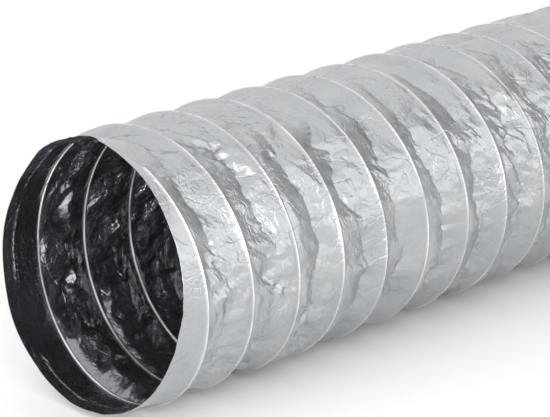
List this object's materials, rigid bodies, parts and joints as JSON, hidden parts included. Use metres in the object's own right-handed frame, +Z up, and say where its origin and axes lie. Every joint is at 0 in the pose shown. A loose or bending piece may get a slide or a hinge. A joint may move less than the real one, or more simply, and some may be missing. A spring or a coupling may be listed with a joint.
{
  "type": "flexible air duct",
  "caption": "Round flexible air duct: spring wire helix between an outer aluminium laminate and an inner black film, open at both ends, shortens and bends.",
  "frame": {"origin": "centre of the bounding box's bottom face: under the middle of the duct, on the surface it lies on", "axes": "+Y along the duct from the front lip (at -Y) to the back lip, +Z up, +X to the right seen from the front lip"},
  "size_m": [0.157, 0.504, 0.157],
  "materials": {
    "outer_foil": "bright, crinkled",
    "inner_film": "glossy black, crinkled",
    "spring_wire": "drawn, bright"
  },
  "bodies": {
    "turn_01": {"wire_turn_01": "spring_wire", "outer_foil_lap_00": "outer_foil", "inner_liner_lap_00": "inner_film"},
    "lap_01": {"inner_liner_lap_01": "inner_film"},
    "turn_02": {"wire_turn_02": "spring_wire", "outer_foil_lap_01": "outer_foil"},
    "lap_02": {"inner_liner_lap_02": "inner_film"},
    "turn_03": {"wire_turn_03": "spring_wire", "outer_foil_lap_02": "outer_foil"},
    "lap_03": {"inner_liner_lap_03": "inner_film"},
    "turn_04": {"wire_turn_04": "spring_wire", "outer_foil_lap_03": "outer_foil"},
    "lap_04": {"inner_liner_lap_04": "inner_film"},
    "turn_05": {"wire_turn_05": "spring_wire", "outer_foil_lap_04": "outer_foil"},
    "lap_05": {"inner_liner_lap_05": "inner_film"},
    "turn_06": {"wire_turn_06": "spring_wire", "outer_foil_lap_05": "outer_foil"},
    "lap_06": {"inner_liner_lap_06": "inner_film"},
    "turn_07": {"wire_turn_07": "spring_wire", "outer_foil_lap_06": "outer_foil"},
    "lap_07": {"inner_liner_lap_07": "inner_film"},
    "turn_08": {"wire_turn_08": "spring_wire", "outer_foil_lap_07": "outer_foil"},
    "lap_08": {"inner_liner_lap_08": "inner_film"},
    "turn_09": {"wire_turn_09": "spring_wire", "outer_foil_lap_08": "outer_foil"},
    "lap_09": {"inner_liner_lap_09": "inner_film"},
    "turn_10": {"wire_turn_10": "spring_wire", "outer_foil_lap_09": "outer_foil"},
    "lap_10": {"inner_liner_lap_10": "inner_film"},
    "turn_11": {"wire_turn_11": "spring_wire", "outer_foil_lap_10": "outer_foil"},
    "lap_11": {"inner_liner_lap_11": "inner_film"},
    "turn_12": {"wire_turn_12": "spring_wire", "outer_foil_lap_11": "outer_foil"},
    "lap_12": {"inner_liner_lap_12": "inner_film"},
    "turn_13": {"wire_turn_13": "spring_wire", "outer_foil_lap_12": "outer_foil"},
    "lap_13": {"inner_liner_lap_13": "inner_film"},
    "turn_14": {"wire_turn_14": "spring_wire", "outer_foil_lap_13": "outer_foil", "outer_foil_lap_14": "outer_foil", "inner_liner_lap_14": "inner_film"}
  },
  "joints": [
    {"name": "compress_01", "type": "slide", "parent": "turn_01", "child": "lap_01", "axis": [0, -1, 0], "range_m": [0, 0.0126], "deforming": ["inner_liner_lap_01"]},
    {"name": "bend_01", "type": "hinge", "parent": "lap_01", "child": "turn_02", "pos_m": [0.06, -0.207, 0.07852], "axis": [0, 0, 1], "range_deg": [0, 4.62], "deforming": ["outer_foil_lap_01"]},
    {"name": "compress_02", "type": "slide", "parent": "turn_02", "child": "lap_02", "axis": [0, -1, 0], "range_m": [0, 0.0126], "deforming": ["inner_liner_lap_02"]},
    {"name": "bend_02", "type": "hinge", "parent": "lap_02", "child": "turn_03", "pos_m": [0.06, -0.171, 0.07852], "axis": [0, 0, 1], "range_deg": [0, 4.62], "deforming": ["outer_foil_lap_02"]},
    {"name": "compress_03", "type": "slide", "parent": "turn_03", "child": "lap_03", "axis": [0, -1, 0], "range_m": [0, 0.0126], "deforming": ["inner_liner_lap_03"]},
    {"name": "bend_03", "type": "hinge", "parent": "lap_03", "child": "turn_04", "pos_m": [0.06, -0.135, 0.07852], "axis": [0, 0, 1], "range_deg": [0, 4.62], "deforming": ["outer_foil_lap_03"]},
    {"name": "compress_04", "type": "slide", "parent": "turn_04", "child": "lap_04", "axis": [0, -1, 0], "range_m": [0, 0.0126], "deforming": ["inner_liner_lap_04"]},
    {"name": "bend_04", "type": "hinge", "parent": "lap_04", "child": "turn_05", "pos_m": [0.06, -0.099, 0.07852], "axis": [0, 0, 1], "range_deg": [0, 4.62], "deforming": ["outer_foil_lap_04"]},
    {"name": "compress_05", "type": "slide", "parent": "turn_05", "child": "lap_05", "axis": [0, -1, 0], "range_m": [0, 0.0126], "deforming": ["inner_liner_lap_05"]},
    {"name": "bend_05", "type": "hinge", "parent": "lap_05", "child": "turn_06", "pos_m": [0.06, -0.063, 0.07852], "axis": [0, 0, 1], "range_deg": [0, 4.62], "deforming": ["outer_foil_lap_05"]},
    {"name": "compress_06", "type": "slide", "parent": "turn_06", "child": "lap_06", "axis": [0, -1, 0], "range_m": [0, 0.0126], "deforming": ["inner_liner_lap_06"]},
    {"name": "bend_06", "type": "hinge", "parent": "lap_06", "child": "turn_07", "pos_m": [0.06, -0.027, 0.07852], "axis": [0, 0, 1], "range_deg": [0, 4.62], "deforming": ["outer_foil_lap_06"]},
    {"name": "compress_07", "type": "slide", "parent": "turn_07", "child": "lap_07", "axis": [0, -1, 0], "range_m": [0, 0.0126], "deforming": ["inner_liner_lap_07"]},
    {"name": "bend_07", "type": "hinge", "parent": "lap_07", "child": "turn_08", "pos_m": [0.06, 0.009, 0.07852], "axis": [0, 0, 1], "range_deg": [0, 4.62], "deforming": ["outer_foil_lap_07"]},
    {"name": "compress_08", "type": "slide", "parent": "turn_08", "child": "lap_08", "axis": [0, -1, 0], "range_m": [0, 0.0126], "deforming": ["inner_liner_lap_08"]},
    {"name": "bend_08", "type": "hinge", "parent": "lap_08", "child": "turn_09", "pos_m": [0.06, 0.045, 0.07852], "axis": [0, 0, 1], "range_deg": [0, 4.62], "deforming": ["outer_foil_lap_08"]},
    {"name": "compress_09", "type": "slide", "parent": "turn_09", "child": "lap_09", "axis": [0, -1, 0], "range_m": [0, 0.0126], "deforming": ["inner_liner_lap_09"]},
    {"name": "bend_09", "type": "hinge", "parent": "lap_09", "child": "turn_10", "pos_m": [0.06, 0.081, 0.07852], "axis": [0, 0, 1], "range_deg": [0, 4.62], "deforming": ["outer_foil_lap_09"]},
    {"name": "compress_10", "type": "slide", "parent": "turn_10", "child": "lap_10", "axis": [0, -1, 0], "range_m": [0, 0.0126], "deforming": ["inner_liner_lap_10"]},
    {"name": "bend_10", "type": "hinge", "parent": "lap_10", "child": "turn_11", "pos_m": [0.06, 0.117, 0.07852], "axis": [0, 0, 1], "range_deg": [0, 4.62], "deforming": ["outer_foil_lap_10"]},
    {"name": "compress_11", "type": "slide", "parent": "turn_11", "child": "lap_11", "axis": [0, -1, 0], "range_m": [0, 0.0126], "deforming": ["inner_liner_lap_11"]},
    {"name": "bend_11", "type": "hinge", "parent": "lap_11", "child": "turn_12", "pos_m": [0.06, 0.153, 0.07852], "axis": [0, 0, 1], "range_deg": [0, 4.62], "deforming": ["outer_foil_lap_11"]},
    {"name": "compress_12", "type": "slide", "parent": "turn_12", "child": "lap_12", "axis": [0, -1, 0], "range_m": [0, 0.0126], "deforming": ["inner_liner_lap_12"]},
    {"name": "bend_12", "type": "hinge", "parent": "lap_12", "child": "turn_13", "pos_m": [0.06, 0.189, 0.07852], "axis": [0, 0, 1], "range_deg": [0, 4.62], "deforming": ["outer_foil_lap_12"]},
    {"name": "compress_13", "type": "slide", "parent": "turn_13", "child": "lap_13", "axis": [0, -1, 0], "range_m": [0, 0.0126], "deforming": ["inner_liner_lap_13"]},
    {"name": "bend_13", "type": "hinge", "parent": "lap_13", "child": "turn_14", "pos_m": [0.06, 0.225, 0.07852], "axis": [0, 0, 1], "range_deg": [0, 4.62], "deforming": ["outer_foil_lap_13", "outer_foil_lap_14", "inner_liner_lap_14"]}
  ],
  "couplings": [
    {"joint": "compress_02", "follows": "compress_01", "ratio": 1},
    {"joint": "bend_02", "follows": "bend_01", "ratio": 1},
    {"joint": "compress_03", "follows": "compress_01", "ratio": 1},
    {"joint": "bend_03", "follows": "bend_01", "ratio": 1},
    {"joint": "compress_04", "follows": "compress_01", "ratio": 1},
    {"joint": "bend_04", "follows": "bend_01", "ratio": 1},
    {"joint": "compress_05", "follows": "compress_01", "ratio": 1},
    {"joint": "bend_05", "follows": "bend_01", "ratio": 1},
    {"joint": "compress_06", "follows": "compress_01", "ratio": 1},
    {"joint": "bend_06", "follows": "bend_01", "ratio": 1},
    {"joint": "compress_07", "follows": "compress_01", "ratio": 1},
    {"joint": "bend_07", "follows": "bend_01", "ratio": 1},
    {"joint": "compress_08", "follows": "compress_01", "ratio": 1},
    {"joint": "bend_08", "follows": "bend_01", "ratio": 1},
    {"joint": "compress_09", "follows": "compress_01", "ratio": 1},
    {"joint": "bend_09", "follows": "bend_01", "ratio": 1},
    {"joint": "compress_10", "follows": "compress_01", "ratio": 1},
    {"joint": "bend_10", "follows": "bend_01", "ratio": 1},
    {"joint": "compress_11", "follows": "compress_01", "ratio": 1},
    {"joint": "bend_11", "follows": "bend_01", "ratio": 1},
    {"joint": "compress_12", "follows": "compress_01", "ratio": 1},
    {"joint": "bend_12", "follows": "bend_01", "ratio": 1},
    {"joint": "compress_13", "follows": "compress_01", "ratio": 1},
    {"joint": "bend_13", "follows": "bend_01", "ratio": 1}
  ]
}
